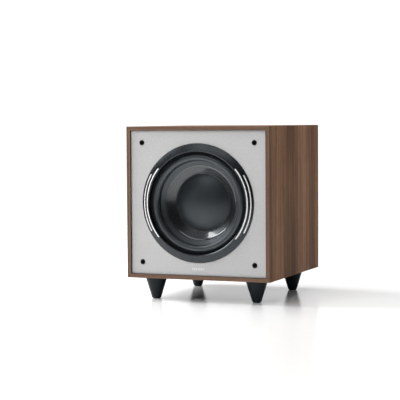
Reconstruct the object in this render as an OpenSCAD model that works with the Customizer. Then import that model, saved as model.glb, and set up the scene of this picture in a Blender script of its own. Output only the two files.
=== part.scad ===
// Active subwoofer: mitred wooden cabinet on four cone feet, an 8 inch driver behind a trim
// ring, a port in the bottom board and a plate amplifier in the back.
// Millimetres. +Z is up and the driver faces -Y. Z = 0 is the surface the feet stand on, and
// the origin is the middle of the whole object's footprint.

/* [Cabinet] */
// Outer width of the cabinet, and its height without the feet
cab_w = 300; // [296:1:310]
// Outer depth of the cabinet
cab_d = 310; // [305:1:330]
// Thickness of the four mitred boards
board_t = 15; // [14:0.5:16]
// Board edge that shows around the front panel
edge_w = 8; // [7:0.5:9]
// Depth of the front panel below the board edges
front_recess = 4; // [3:0.5:6]
// Thickness of the front baffle
baffle_t = 18; // [18:1:20]
// Depth of the rear panel below the board edges
rear_recess = 6; // [5:0.5:8]
// Thickness of the rear panel
rear_t = 15; // [14:1:16]
// Sideways and upward distance of each grille socket from the panel's middle
socket_off = 118; // [114:1:122]

/* [Feet] */
// Height of the feet with their pads
foot_h = 45; // [40:1:50]
// Radius of a foot at its top
foot_top_r = 22.5; // [18:0.5:24]
// Radius of a foot at its bottom
foot_bottom_r = 9; // [8.5:0.5:12]
// Sideways distance of a foot from the cabinet's middle
foot_x = 107; // [100:1:110]
// Distance of a foot from the cabinet's middle, towards the front and the back
foot_y = 110; // [108:1:115]

/* [Driver] */
// Outer radius of the trim ring
trim_r = 117; // [116:0.5:118]
// Height of the trim ring's crest above the front panel
trim_top = 6.6; // [6:0.1:8]
// Radius of the opening in the trim ring
trim_hole_r = 101; // [101:0.1:101.3]
// Radius of the surround's roll, at the middle of the roll
roll_mid_r = 89.5; // [89:0.1:89.8]
// Outer radius of the roll's own section
roll_r = 6.9; // [6.5:0.1:7]
// Radius where the surround ends and the bare cone starts
cone_r = 74; // [72:0.5:75]
// Radius of the dust cap
cap_r = 56; // [54:0.5:57]
// Rise of the dust cap's middle above its joint with the cone
cap_rise = 15.5; // [13:0.5:19]
// Outer radius of the magnet
magnet_r = 60; // [58:1:66]
// How far the cone travels each way
excursion = 8; // [4:0.5:8]

/* [Port] */
// Inner radius of the port
port_r = 30; // [26:0.5:31]
// Length of the port above the bottom board's underside
port_len = 150; // [120:5:180]
// Distance of the port from the cabinet's middle, towards the right
port_x = 60; // [55:1:64]
// Distance of the port behind the cabinet's front edge
port_depth = 185; // [182:1:187]

/* [Amplifier] */
// Width of the amplifier's plate
plate_w = 190; // [188:1:200]
// Height of the amplifier's plate
plate_h = 230; // [228:1:240]
// Thickness of the amplifier's plate
plate_t = 3; // [3:0.1:3.2]
// Height of the heatsink with its fins
heatsink_h = 17; // [14:0.5:20]
// Number of cooling fins
fin_count = 17; // [11:2:21]
// Radius of the two knobs
knob_r = 9; // [8:0.5:10]
// Height of the two knobs
knob_h = 12.6; // [11:0.2:14]
// Travel of the two slide switches
switch_travel = 5; // [3:0.5:5]
// How far the power rocker tips to each side, in degrees
rocker_tilt = 10; // [6:1:10]
// Outer radius of a line jack's barrel
jack_r = 4.15; // [4.1:0.05:4.2]

/* [Hidden] */
$fn = 96;

WOOD = "#7a5a48";
SILVER = "#bdbec0";
BLACK = "#24282c";
MDF = "#a98c66";
STEEL = "#9aa0a6";
BRASS = "#c8a95a";
GREEN = "#2d5b3a";

// Running clearance of a shaft in its hole, and the loose clearance of everything else
run_gap = 0.05;
loose_gap = 0.1;
slide_gap = 0.3;
// How far a cutting shape reaches past the face that it cuts
over = 1;

// Places along the depth
gasket_t = 1.5;
plate_sink = rear_recess - gasket_t - plate_t;
front_over = trim_top - front_recess;
rear_over = heatsink_h - plate_sink;
front_y = front_over - (front_over + cab_d + rear_over) / 2;
rear_y = front_y + cab_d;
face_y = front_y + front_recess;
plate_y = rear_y - plate_sink;
middle_y = front_y + cab_d / 2;

// Places across and up
half_w = cab_w / 2;
inner_w = cab_w - 2 * board_t;
panel_w = cab_w - 2 * edge_w;
middle_z = foot_h + half_w;
floor_z = foot_h + board_t;
foot_spots = [for (y = [-foot_y, foot_y], x = [-foot_x, foot_x]) [x, middle_y + y]];

// Feet and their fixings
pad_r = 7.5;
pad_t = 2.5;
pad_sunk = 1;
stud_r = 3;
stud_in_foot = 19;
tee_barrel_r = 4;
tee_flange_r = 9;
tee_flange_t = 1.5;
tee_barrel_len = 9;

// Grille sockets
socket_r = 4.9;
socket_lip = 0.6;
socket_body_r = 4;
socket_body_len = 12;
socket_bore_r = 3;
socket_bore_len = 10;

// Driver, in its own frame: z = 0 is the baffle's face and +z comes out of the cabinet
seat_r = 112;
seat_depth = 6;
baffle_hole_r = 101.5;
rim_r = 111;
rim_top = -2;
rim_t = 2.5;
screw_ring_r = 107;
screw_count = 8;
screw_r = 1.9;
screw_head_r = 3.2;
screw_head_t = 1.6;
peg_ring_r = 114.7;
peg_r = 1.4;
peg_len = 6;
trim_edge_t = 1.25;
trim_wall = 1.7;
roll_z = -4.4;
roll_t = 0.9;
flange_top = -0.9;
land_r = 83;
land_z = -10.7;
land_end_z = -14.7;
skin_t = 0.9;
glue_gap = 0.3;
cone_slope = 0.76;
cone_top_z = land_end_z - skin_t;
neck_r = 25.5;
cap_t = 0.9;
coil_former_r = 25.4;
former_t = 0.4;
coil_t = 0.8;
coil_len = 18;
gap_z = -84;
gap_t = 8;
top_plate_r = 55;
coil_spare = 7;
magnet_t = coil_len / 2 - gap_t / 2 + excursion + coil_spare;
yoke_t = 8;
pole_r = 24.4;
vent_r = 8;
ledge_z = -68;
ledge_in_r = 54.8;
ledge_out_r = 69.8;
wall_t = 2.2;
strut_count = 6;
window_angle = 38;
lead_r = 0.8;
wire_r = 1.3;
tab_x = 7;
tab_y = -80;
tab_end_z = -76;

// Port
port_wall = 3.5;
port_flange_r = 42;
port_flange_t = 3;
port_flare_r = 8;
port_spot = [port_x, front_y + port_depth];

// Brace
brace_depth = 128;
brace_t = 15;
brace_window = 190;

// Amplifier, in its own frame: z = 0 is the plate's outer face, +z points away from the
// cabinet's back, and x runs to the right of someone who looks at the back
plate_corner = 6;
cut_w = plate_w - 22;
cut_h = plate_h - 22;
cover_gap = 2;
cover_t = 1.5;
cover_depth = 80;
amp_screw_r = 1.6;
amp_head_r = 3.6;
amp_head_t = 2;
border_x = plate_w / 2 - 5.5;
border_y = plate_h / 2 - 5.5;
amp_screw_spots = concat(
    [for (x = [-border_x, border_x], y = [-border_y, -border_y / 3, border_y / 3, border_y]) [x, y]],
    [for (y = [-border_y, border_y]) [0, y]]
);
control_y = 84;
volume_spot = [-62, control_y];
crossover_spot = [-24, control_y];
phase_spot = [16, control_y];
standby_spot = [54, control_y];
jack_spots = [[-62, 46], [-40, 46]];
led_spot = [54, 50];
board_z = -12.4;
board_pcb_t = 1.6;
pot_w = 16;
bush_r = 3.5;
bush_top = 3;
shaft_r = 3;
shaft_in = 7.5;
knob_z = 3.4;
knob_bore_len = 9;
flute_count = 20;
flute_r = 0.9;
nut_r = 5.5;
nut_t = 2;
switch_l = 24;
switch_w = 10;
cavity_l = 18;
cavity_w = 7;
cavity_floor = -10.4;
lever_base_l = 8;
stem_l = 3.2;
stem_w = 3.6;
stem_top = 2.5;
jack_len = 9;
jack_bore_r = 1.7;
jack_neck_r = 4.5;
led_r = 2.5;
sink_w = 160;
sink_y = -12;
sink_l = 72;
sink_base = 3;
fin_t = 2;
rocker_spot = [-45, -82];
rocker_w = 10;
rocker_half = 7.2;
rocker_pin_r = 1;
rocker_pin_z = -3;
rocker_room = 16.4;
inlet_spot = [30, -82];
inlet_w = 28;
inlet_h = 26;
inlet_depth = 22;
inlet_flange = 2.5;
inlet_ear = 20;
recess_w = 24.2;
recess_h = 16.4;
recess_y = 4;
recess_floor = -16;
pin_w = 2;
pin_h = 4;
pin_spots = [[-7, 2], [7, 2], [0, 6.5]];
drawer_y = -8.5;
drawer_w = 22.6;
drawer_h = 6;
drawer_depth = 18;
fuse_r = 2.55;
fuse_len = 20;
fuse_z = -11;

// Driver frame and amplifier frame
module on_front() {
    translate([0, face_y, middle_z]) rotate([90, 0, 0]) children();
}

module on_rear() {
    translate([0, plate_y, middle_z]) rotate([90, 0, 180]) children();
}

// Points on a circle, from one angle to another
function arc_points(x, y, r, from, to, steps = 16) =
    [for (i = [0 : steps]) let (a = from + (to - from) * i / steps) [x + r * cos(a), y + r * sin(a)]];

function unit(v) = v / norm(v);

// Corners around one point of a tube's route: route is a list of points, side is a direction
// that no part of the route runs along
function tube_ring(route, i, r, side, sides) =
    let (last = len(route) - 1)
    let (along = unit(route[min(i + 1, last)] - route[max(i - 1, 0)]))
    let (u = unit(cross(along, side)))
    let (v = cross(along, u))
    [for (k = [0 : sides - 1]) route[i] + r * (cos(360 * k / sides) * u + sin(360 * k / sides) * v)];

// A round tube, closed at both ends, along a route
module tube(route, r, side, sides = 8) {
    rings = [for (i = [0 : len(route) - 1]) tube_ring(route, i, r, side, sides)];
    last = len(route) - 1;
    walls = [for (i = [0 : last - 1], k = [0 : sides - 1])
        let (n = (k + 1) % sides)
        [i * sides + k, i * sides + n, (i + 1) * sides + n, (i + 1) * sides + k]];
    first_end = [for (k = [0 : sides - 1]) sides - 1 - k];
    last_end = [for (k = [0 : sides - 1]) last * sides + k];
    polyhedron([for (ring = rings, p = ring) p], concat(walls, [first_end, last_end]));
}

// Points on a smooth curve with four control points
function bezier(p, steps = 14) =
    [for (i = [0 : steps]) let (t = i / steps, s = 1 - t)
        s * s * s * p[0] + 3 * s * s * t * p[1] + 3 * s * t * t * p[2] + t * t * t * p[3]];

// A slab with rounded corners, centred on x and y, from z = 0 down to -t
module rounded_slab(w, h, t, r) {
    translate([-w / 2 + r, -h / 2, -t]) cube([w - 2 * r, h, t]);
    translate([-w / 2, -h / 2 + r, -t]) cube([w, h - 2 * r, t]);
    for (x = [-1, 1], y = [-1, 1])
        translate([x * (w / 2 - r), y * (h / 2 - r), -t]) cylinder(r = r, h = t);
}

// A block centred on x and y, between two heights
module block(w, h, low, high) {
    translate([-w / 2, -h / 2, low]) cube([w, h, high - low]);
}

// ---- Cabinet ----

// One mitred board with its rebates for the two panels. turn: 0 top, 90 right, 180 bottom, 270 left
module wrap_board(turn) {
    in = half_w - board_t;
    room = half_w - edge_w;
    front_len = front_recess + baffle_t;
    rear_len = rear_recess + rear_t;
    translate([0, front_y, middle_z]) rotate([0, turn, 0]) difference() {
        translate([0, cab_d, 0]) rotate([90, 0, 0]) linear_extrude(cab_d)
            polygon([[-half_w, half_w], [half_w, half_w], [in, in], [-in, in]]);
        translate([-room, -over, 0]) cube([2 * room, front_len + over, room]);
        translate([-room, cab_d - rear_len, 0]) cube([2 * room, rear_len + over, room]);
    }
}

module left_side() {
    color(WOOD) wrap_board(270);
}

module right_side() {
    color(WOOD) wrap_board(90);
}

module top_panel() {
    color(WOOD) wrap_board(0);
}

module bottom_panel() {
    color(WOOD) difference() {
        wrap_board(180);
        for (p = foot_spots)
            translate([p.x, p.y, foot_h - over])
                cylinder(r = tee_barrel_r + loose_gap, h = board_t + 2 * over);
        translate([port_spot.x, port_spot.y, foot_h - over])
            cylinder(r = port_r + port_wall + loose_gap, h = board_t + 2 * over);
    }
}

module front_baffle() {
    color(SILVER) on_front() difference() {
        block(panel_w, panel_w, -baffle_t, 0);
        translate([0, 0, -seat_depth]) cylinder(r = seat_r, h = seat_depth + over);
        translate([0, 0, -baffle_t - over]) cylinder(r = baffle_hole_r, h = baffle_t + 2 * over);
        for (x = [-1, 1], y = [-1, 1])
            translate([x * socket_off, y * socket_off, -baffle_t - over])
                cylinder(r = socket_body_r + loose_gap, h = baffle_t + 2 * over);
        driver_screw_ring()
            translate([0, 0, -baffle_t - over]) cylinder(r = screw_r + loose_gap, h = baffle_t);
        trim_peg_ring()
            translate([0, 0, -peg_len - loose_gap]) cylinder(r = peg_r + loose_gap, h = peg_len + over);
    }
}

module rear_panel() {
    color(MDF) on_rear() difference() {
        block(panel_w, panel_w, -plate_t - gasket_t - rear_t, -plate_t - gasket_t);
        block(cut_w, cut_h, -plate_t - gasket_t - rear_t - over, 0);
        for (p = amp_screw_spots)
            translate([p.x, p.y, -plate_t - gasket_t - rear_t - over])
                cylinder(r = amp_screw_r + loose_gap, h = rear_t + 2 * over);
    }
}

// Board with a square window that stiffens the cabinet behind the magnet
module window_brace() {
    color(MDF) translate([0, front_y + brace_depth, middle_z]) difference() {
        translate([-inner_w / 2, 0, -inner_w / 2]) cube([inner_w, brace_t, inner_w]);
        translate([-brace_window / 2, -over, -brace_window / 2])
            cube([brace_window, brace_t + 2 * over, brace_window]);
    }
}

// Mats of wadding on both sides and under the top board
module damping_wadding() {
    mat_t = 23;
    skin = 0.2;
    from_y = front_y + brace_depth + brace_t + 3;
    mat_d = rear_y - rear_recess - rear_t - 6 - from_y;
    side_h = inner_w - 12;
    top_w = inner_w - 2 * mat_t - 8;
    color("white") {
        for (x = [-inner_w / 2 + skin, inner_w / 2 - skin - mat_t])
            translate([x, from_y, middle_z - side_h / 2]) cube([mat_t, mat_d, side_h]);
        translate([-top_w / 2, from_y, middle_z + inner_w / 2 - skin - mat_t]) cube([top_w, mat_d, mat_t]);
    }
}

// Four rubber sockets for the pegs of a cloth grille
module grille_sockets() {
    color(BLACK) on_front()
        for (x = [-1, 1], y = [-1, 1])
            translate([x * socket_off, y * socket_off, 0]) rotate_extrude()
                polygon([
                    [0, -socket_body_len], [socket_body_r, -socket_body_len], [socket_body_r, 0],
                    [socket_r, 0], [socket_r, socket_lip - 0.25], [socket_r - 0.25, socket_lip],
                    [socket_bore_r + 0.4, socket_lip], [socket_bore_r, socket_lip - 0.4],
                    [socket_bore_r, socket_lip - socket_bore_len], [0, socket_lip - socket_bore_len]
                ]);
}

// ---- Feet ----

module foot(spot) {
    low = pad_t - pad_sunk;
    color(BLACK) translate([spot.x, spot.y, low]) difference() {
        cylinder(r1 = foot_bottom_r, r2 = foot_top_r, h = foot_h - low);
        translate([0, 0, -over]) cylinder(r = pad_r + loose_gap, h = pad_sunk + over);
        translate([0, 0, foot_h - low - stud_in_foot - over])
            cylinder(r = stud_r + loose_gap, h = stud_in_foot + 2 * over);
    }
}

module front_left_foot() {
    foot(foot_spots[0]);
}

module front_right_foot() {
    foot(foot_spots[1]);
}

module rear_left_foot() {
    foot(foot_spots[2]);
}

module rear_right_foot() {
    foot(foot_spots[3]);
}

module foot_pads() {
    color("dimgray")
        for (p = foot_spots)
            translate([p.x, p.y, 0]) cylinder(r = pad_r, h = pad_t);
}

// Threaded studs that join each foot to its tee nut
module foot_studs() {
    color(STEEL)
        for (p = foot_spots)
            translate([p.x, p.y, foot_h - stud_in_foot]) cylinder(r = stud_r, h = stud_in_foot + board_t);
}

module tee_nuts() {
    color(STEEL)
        for (p = foot_spots)
            translate([p.x, p.y, floor_z]) difference() {
                union() {
                    cylinder(r = tee_flange_r, h = tee_flange_t);
                    translate([0, 0, -tee_barrel_len]) cylinder(r = tee_barrel_r, h = tee_barrel_len);
                }
                translate([0, 0, -tee_barrel_len - over])
                    cylinder(r = stud_r + loose_gap, h = tee_barrel_len + tee_flange_t + 2 * over);
            }
}

// ---- Trim ring ----

module driver_screw_ring() {
    for (i = [0 : screw_count - 1])
        rotate([0, 0, (i + 0.5) * 360 / screw_count]) translate([screw_ring_r, 0, 0]) children();
}

module trim_peg_ring() {
    for (i = [0 : 3])
        rotate([0, 0, 45 + 90 * i]) translate([peg_ring_r, 0, 0]) children();
}

// Height of the ring's sloping face at a radius
trim_slope = (trim_top - 0.25 - trim_edge_t) / (trim_r - 0.3 - (trim_hole_r + 1.9));
function trim_face(r) = trim_edge_t + (trim_r - 0.3 - r) * trim_slope;

// The two accent lines on each side: radius, width and half their angle
accent_lines = [[111.75, 2.2, 30], [105.1, 2.6, 40]];
accent_sunk = 0.5;
accent_proud = 0.12;

// Section strip of one accent line, widened by room, up to a height over the ring's face
module accent_strip(line, room, proud) {
    low = line[0] - line[1] / 2 - room;
    high = line[0] + line[1] / 2 + room;
    for (turn = [0, 180])
        rotate([0, 0, turn - line[2] - room / 2]) rotate_extrude(angle = 2 * line[2] + room)
            polygon([
                [low, trim_face(low) - accent_sunk], [high, trim_face(high) - accent_sunk],
                [high, trim_face(high) + proud], [low, trim_face(low) + proud]
            ]);
}

module trim_ring() {
    wall_r = trim_hole_r + 1.5;
    foot_r = seat_r + 0.5;
    color(BLACK) on_front() {
        difference() {
            rotate_extrude() polygon([
                [foot_r, 0], [trim_r, 0], [trim_r, trim_edge_t - 0.25], [trim_r - 0.3, trim_edge_t],
                [trim_hole_r + 1.9, trim_top - 0.25], [trim_hole_r + 1.2, trim_top],
                [trim_hole_r + 0.4, trim_top - 0.3], [trim_hole_r, trim_top - 1],
                [trim_hole_r, rim_top], [wall_r, rim_top],
                [wall_r, trim_face(wall_r) - trim_wall], [foot_r, trim_face(foot_r) - trim_wall]
            ]);
            for (line = accent_lines) accent_strip(line, 0.05, over);
        }
        trim_peg_ring() translate([0, 0, -peg_len]) cylinder(r = peg_r, h = peg_len);
    }
}

module accent_arcs() {
    color("white") on_front()
        for (line = accent_lines) accent_strip(line, 0, accent_proud);
}

// ---- Driver ----

// Pressed steel frame with six struts
module basket() {
    cup_r = ledge_in_r + wall_t;
    seat_z = gap_z + gap_t / 2;
    shell_r = trim_hole_r - 3.4;
    shell_z = -15;
    ledge_top_z = ledge_z + 8.7;
    color(STEEL) on_front() difference() {
        rotate_extrude() polygon([
            [rim_r, rim_top], [rim_r, rim_top - rim_t], [shell_r + wall_t, rim_top - rim_t],
            [shell_r + wall_t, shell_z - 1], [ledge_out_r + wall_t, ledge_top_z - 0.7],
            [ledge_out_r + wall_t, ledge_z - 2.5], [cup_r, ledge_z - 2.5], [cup_r, seat_z],
            [34, seat_z], [34, seat_z + 2], [ledge_in_r, seat_z + 2], [ledge_in_r, ledge_z],
            [ledge_out_r, ledge_z], [ledge_out_r, ledge_top_z], [shell_r, shell_z], [shell_r, rim_top]
        ]);
        for (i = [0 : strut_count - 1])
            rotate([0, 0, (i + 0.5) * 360 / strut_count - window_angle / 2])
                rotate_extrude(angle = window_angle)
                    translate([ledge_out_r - 8, ledge_top_z]) square([40, shell_z - 3 - ledge_top_z]);
        driver_screw_ring()
            translate([0, 0, rim_top - rim_t - over]) cylinder(r = screw_r + loose_gap, h = rim_t + 2 * over);
    }
}

module basket_gasket() {
    color("dimgray") on_front() difference() {
        translate([0, 0, -seat_depth]) cylinder(r = rim_r - 0.2, h = seat_depth + rim_top - rim_t);
        translate([0, 0, -seat_depth - over]) cylinder(r = baffle_hole_r + 0.5, h = seat_depth);
        driver_screw_ring()
            translate([0, 0, -seat_depth - over]) cylinder(r = screw_r + loose_gap, h = seat_depth);
    }
}

module driver_screws() {
    shank = baffle_t - 3;
    color(STEEL) on_front() driver_screw_ring() {
        translate([0, 0, rim_top]) difference() {
            cylinder(r = screw_head_r, h = screw_head_t);
            translate([0, 0, screw_head_t - 1]) cylinder(r = 1.6, h = 2, $fn = 6);
        }
        translate([0, 0, rim_top - shank]) cylinder(r = screw_r, h = shank);
    }
}

// Rubber half roll, with a flange on the basket's rim and a sloping land on the cone
module surround() {
    in_r = roll_r - roll_t;
    flange_r = trim_hole_r - 0.2;
    color(BLACK) on_front() rotate_extrude() polygon(concat(
        [[flange_r, rim_top], [flange_r, flange_top]],
        arc_points(roll_mid_r, roll_z, roll_r, asin((flange_top - roll_z) / roll_r), 180, 24),
        [[land_r, land_z], [cone_r + 0.2, land_end_z], [cone_r + 0.2, land_end_z - skin_t]],
        [[land_r + skin_t, land_z - skin_t + 0.2]],
        arc_points(roll_mid_r, roll_z, in_r, 180, asin((rim_top - roll_z) / in_r), 24)
    ));
}

// Height of the cone's front face at a radius inside the surround's land
function cone_face(r) = cone_top_z - (cone_r - r) * cone_slope;

module cone() {
    land_slope = (land_z - land_end_z + 0.2) / (land_r + skin_t - cone_r - 0.2);
    lip_r = land_r - 1;
    rim_z = cone_top_z - glue_gap;
    lip_z = rim_z + (lip_r - cone_r) * land_slope;
    back = skin_t * 1.4;
    color("#16181a") on_front() rotate_extrude() polygon([
        [lip_r, lip_z], [cone_r, rim_z], [neck_r, cone_face(neck_r)],
        [neck_r, cone_face(neck_r) - back], [cone_r, cone_top_z - back], [lip_r, lip_z - skin_t]
    ]);
}

// Convex dome glued to the cone, with a skirt that follows the cone's face
module dust_cap() {
    r = cap_r + 0.3;
    skirt_r = cap_r - 1.1;
    top_z = cone_face(cap_r) + cap_rise;
    rise = top_z - cone_face(r) - 0.5;
    dome_r = (r * r + rise * rise) / (2 * rise);
    mid_z = top_z - dome_r;
    in_r = dome_r - cap_t;
    color(BLACK) on_front() rotate_extrude() polygon(concat(
        [[skirt_r, cone_face(skirt_r) + 0.05], [r, cone_face(r) + 0.05]],
        arc_points(0, mid_z, dome_r, acos(r / dome_r), 90, 20),
        arc_points(0, mid_z, in_r, 90, acos(skirt_r / in_r), 20)
    ));
}

module coil_former() {
    top_z = cone_face(neck_r) + 3;
    low_z = gap_z - coil_len / 2 - 1;
    color("tan") on_front() translate([0, 0, low_z]) difference() {
        cylinder(r = coil_former_r, h = top_z - low_z);
        translate([0, 0, -over]) cylinder(r = coil_former_r - former_t, h = top_z - low_z + 2 * over);
    }
}

module voice_coil() {
    color("#b06a35") on_front() translate([0, 0, gap_z - coil_len / 2]) difference() {
        cylinder(r = coil_former_r + coil_t, h = coil_len);
        translate([0, 0, -over]) cylinder(r = coil_former_r, h = coil_len + 2 * over);
    }
}

// Corrugated cloth disc that centres the coil
module spider() {
    folds = 4;
    in_r = 29;
    out_r = ledge_in_r - 0.8;
    steps = 32;
    cloth_t = 0.6;
    wave = [for (i = [0 : steps]) let (t = i / steps)
        [in_r + (out_r - in_r) * t, ledge_z + 1.4 * sin(360 * folds * t)]];
    color("#c9b26c") on_front() rotate_extrude() polygon(concat(
        [[neck_r, ledge_z + cloth_t], [neck_r, ledge_z]],
        wave,
        [[ledge_out_r - 0.8, ledge_z], [ledge_out_r - 0.8, ledge_z + cloth_t]],
        [for (i = [0 : steps]) wave[steps - i] + [0, cloth_t]]
    ));
}

module top_plate() {
    color(STEEL) on_front() translate([0, 0, gap_z - gap_t / 2]) difference() {
        cylinder(r = top_plate_r, h = gap_t);
        translate([0, 0, -over]) cylinder(r = coil_former_r + coil_t + 0.8, h = gap_t + 2 * over);
    }
}

module magnet() {
    color("#2b2b2d") on_front() translate([0, 0, gap_z - gap_t / 2 - magnet_t]) difference() {
        cylinder(r = magnet_r, h = magnet_t);
        translate([0, 0, -over]) cylinder(r = top_plate_r - 23, h = magnet_t + 2 * over);
    }
}

module pole_yoke() {
    back_z = gap_z - gap_t / 2 - magnet_t - yoke_t;
    color(STEEL) on_front() translate([0, 0, back_z]) difference() {
        union() {
            cylinder(r = top_plate_r, h = yoke_t);
            cylinder(r = pole_r, h = yoke_t + magnet_t + gap_t);
        }
        translate([0, 0, -over]) cylinder(r = vent_r, h = yoke_t + magnet_t + gap_t + 2 * over);
    }
}

// Small board on the basket's lower side, with two tabs for the wires
module terminal_strip() {
    strip_z = -66;
    color(BRASS) on_front() {
        translate([-12, -ledge_out_r - wall_t - 12, strip_z]) cube([24, 12, 1.6]);
        for (x = [-tab_x, tab_x])
            translate([x - 2.4, tab_y - 0.4, tab_end_z + 2]) cube([4.8, 0.8, strip_z - tab_end_z - 2]);
    }
}

// Flexible leads from the strip to the cone
module tinsel_leads() {
    color("#b87a3c") on_front()
        for (x = [-1, 1])
            tube(bezier([[7 * x, -76.5, -64.3], [7 * x, -76.5, -50], [6 * x, -52, -54], [5 * x, -39, -44.4]]),
                lead_r, [1, 0, 0]);
}

// Pair of wires inside the cabinet, from the amplifier's cover to the driver's tabs
module speaker_wires() {
    from_y = plate_y - plate_t - cover_depth - glue_gap;
    to_y = face_y - tab_end_z - 2 + glue_gap;
    z = middle_z + tab_y;
    color("firebrick")
        for (x = [-1, 1])
            tube(bezier([[3 * x, from_y, z], [3 * x, from_y - 50, z - 10], [tab_x * x, to_y + 50, z - 6],
                [tab_x * x, to_y, z]], 18), wire_r, [1, 0, 0]);
}

// ---- Port ----

module port_tube() {
    out_r = port_r + port_wall;
    flare_x = port_r + port_flare_r;
    color(BLACK) translate([port_spot.x, port_spot.y, foot_h]) rotate_extrude() polygon(concat(
        [[out_r, 0], [port_flange_r, 0], [port_flange_r, -port_flange_t + 1.5]],
        [[port_flange_r - 1.5, -port_flange_t]],
        arc_points(flare_x, port_flare_r - port_flange_t, port_flare_r, 270, 180, 10),
        [[port_r, port_len - 3], [port_r + 1.5, port_len], [out_r, port_len]]
    ));
}

// ---- Amplifier ----

module amp_plate() {
    color(BLACK) on_rear() {
        difference() {
            rounded_slab(plate_w, plate_h, plate_t, plate_corner);
            for (p = amp_screw_spots) plate_hole(p, amp_screw_r + loose_gap);
            for (p = [volume_spot, crossover_spot]) plate_hole(p, bush_r + loose_gap);
            for (p = jack_spots) plate_hole(p, jack_neck_r + loose_gap);
            plate_hole(led_spot, led_r + loose_gap);
            for (p = [phase_spot, standby_spot])
                translate([p.x, p.y, 0])
                    block(stem_l + switch_travel + 0.8, stem_w + 0.8, -plate_t - over, over);
            translate([rocker_spot.x, rocker_spot.y, 0]) block(13.2, 19.2, -plate_t - over, over);
            translate([inlet_spot.x, inlet_spot.y, 0])
                block(inlet_w + 0.4, inlet_h + 0.4, -plate_t - over, over);
            for (x = [-inlet_ear, inlet_ear]) plate_hole([inlet_spot.x + x, inlet_spot.y], 1.7);
        }
        for (p = main_board_posts) translate([p.x, p.y, -plate_t - 19]) cylinder(r = 3, h = 19);
    }
}

module plate_hole(spot, r) {
    translate([spot.x, spot.y, -plate_t - over]) cylinder(r = r, h = plate_t + 2 * over);
}

module amp_gasket() {
    color("dimgray") on_rear() translate([0, 0, -plate_t]) difference() {
        rounded_slab(plate_w, plate_h, gasket_t, plate_corner);
        block(cut_w, cut_h, -gasket_t - over, over);
        for (p = amp_screw_spots)
            translate([p.x, p.y, -gasket_t - over])
                cylinder(r = amp_screw_r + loose_gap, h = gasket_t + 2 * over);
    }
}

module amp_screws() {
    shank = plate_t + gasket_t + rear_t - 2;
    color(STEEL) on_rear()
        for (p = amp_screw_spots)
            translate([p.x, p.y, 0]) {
                difference() {
                    cylinder(r1 = amp_head_r, r2 = amp_head_r - 0.8, h = amp_head_t);
                    block(1, 4.4, amp_head_t - 1, amp_head_t + over);
                    block(4.4, 1, amp_head_t - 1, amp_head_t + over);
                }
                translate([0, 0, -shank]) cylinder(r = amp_screw_r, h = shank);
            }
}

module heatsink() {
    pitch = (sink_w - fin_t) / (fin_count - 1);
    color("#303438") on_rear() translate([0, sink_y, 0]) {
        block(sink_w, sink_l, 0, sink_base);
        for (i = [0 : fin_count - 1])
            translate([-sink_w / 2 + i * pitch, -sink_l / 2, 0]) cube([fin_t, sink_l, heatsink_h]);
    }
}

// Steel box that seals the electronics from the cabinet's air
module amp_cover() {
    w = cut_w - 2 * cover_gap;
    h = cut_h - 2 * cover_gap;
    low = -plate_t - cover_depth;
    color(STEEL) on_rear() difference() {
        block(w, h, low, -plate_t);
        block(w - 2 * cover_t, h - 2 * cover_t, low + cover_t, -plate_t + over);
    }
}

main_board_size = [150, 66];
main_board_y = -5;
main_board_z = -plate_t - 19;
main_board_posts = [for (x = [-70, 70], y = [-28, 28]) [x, main_board_y + y]];

module main_board() {
    color(GREEN) on_rear() translate([0, main_board_y, 0])
        block(main_board_size.x, main_board_size.y, main_board_z - board_pcb_t, main_board_z);
}

module filter_capacitors() {
    color("#1d2b55") on_rear()
        for (x = [-50, -20])
            translate([x, main_board_y, main_board_z - board_pcb_t - 34]) cylinder(r = 12, h = 34);
}

// Toroidal mains transformer, on the cover's inner face
module transformer() {
    low = -plate_t - cover_depth + cover_t;
    color("#b98a3a") on_rear() translate([38, 50, low]) rotate_extrude()
        polygon(concat(
            arc_points(30, 4, 4, 270, 360, 6), arc_points(30, 26, 4, 0, 90, 6),
            arc_points(15, 26, 4, 90, 180, 6), arc_points(15, 4, 4, 180, 270, 6)
        ));
}

// Board behind the controls, which the knobs' and switches' bodies stand on
module control_board() {
    color(GREEN) on_rear() translate([-4, 67, 0]) block(150, 62, board_z - board_pcb_t, board_z);
}

module potentiometers() {
    color(STEEL) on_rear()
        for (p = [volume_spot, crossover_spot])
            translate([p.x, p.y, 0]) difference() {
                union() {
                    block(pot_w, pot_w, board_z, -plate_t);
                    translate([0, 0, -plate_t - over]) cylinder(r = bush_r, h = plate_t + over + bush_top);
                    cylinder(r = nut_r, h = nut_t, $fn = 6);
                }
                translate([0, 0, -shaft_in - 0.5])
                    cylinder(r = shaft_r + run_gap, h = shaft_in + 2 * bush_top);
            }
}

module control_shaft(spot) {
    color(STEEL) on_rear() translate([spot.x, spot.y, -shaft_in])
        cylinder(r = shaft_r, h = shaft_in + knob_z + knob_bore_len);
}

// Fluted knob with a groove that points up at mid travel
module control_knob(spot) {
    color(BLACK) on_rear() translate([spot.x, spot.y, knob_z]) difference() {
        rotate_extrude() polygon([
            [0, 0], [knob_r + 0.6, 0], [knob_r + 0.6, 1.6], [knob_r, 2.2],
            [knob_r - 0.4, knob_h - 0.8], [knob_r - 1.2, knob_h], [0, knob_h]
        ]);
        translate([0, 0, -over]) cylinder(r = shaft_r, h = knob_bore_len + over);
        for (i = [0 : flute_count - 1])
            rotate([0, 0, (i + 0.5) * 360 / flute_count]) translate([knob_r + 0.45, 0, 2.4])
                cylinder(r = flute_r, h = knob_h);
        translate([-0.6, 2.5, knob_h - 0.5]) cube([1.2, knob_r, 1]);
    }
}

module volume_shaft() {
    control_shaft(volume_spot);
}

module volume_knob() {
    control_knob(volume_spot);
}

module crossover_shaft() {
    control_shaft(crossover_spot);
}

module crossover_knob() {
    control_knob(crossover_spot);
}

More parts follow.
